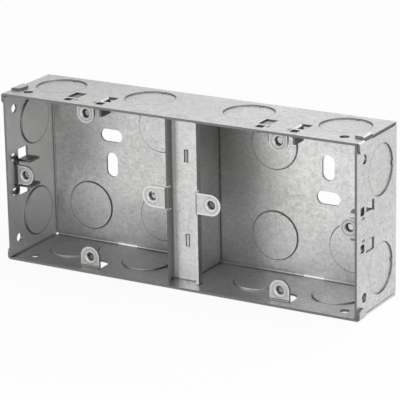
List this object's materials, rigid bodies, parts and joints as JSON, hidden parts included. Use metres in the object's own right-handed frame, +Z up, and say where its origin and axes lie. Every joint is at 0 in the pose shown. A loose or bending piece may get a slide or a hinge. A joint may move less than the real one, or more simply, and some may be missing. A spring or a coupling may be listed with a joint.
{
  "type": "flush back box",
  "caption": "Galvanised steel flush back box for two wiring accessories side by side, with knockouts, screw lugs, a centre channel and a divider.",
  "frame": {"origin": "centre of the base on the bottom wall's outer face, midway between the front plane and the rear face", "axes": "+Z up, +X to the right along the box's width, -Y out of the open front"},
  "size_m": [0.1612, 0.035, 0.0716],
  "materials": {
    "body_steel": "satin galvanised",
    "channel_steel": "semi-bright galvanised",
    "divider_steel": "satin galvanised",
    "lug_steel": "semi-bright zinc plated"
  },
  "bodies": {
    "root": {"body": "body_steel", "centre_channel": "channel_steel", "divider_plate": "divider_steel", "lug_top_left": "lug_steel", "lug_top_right": "lug_steel", "lug_left": "lug_steel", "lug_right": "lug_steel"}
  },
  "joints": []
}
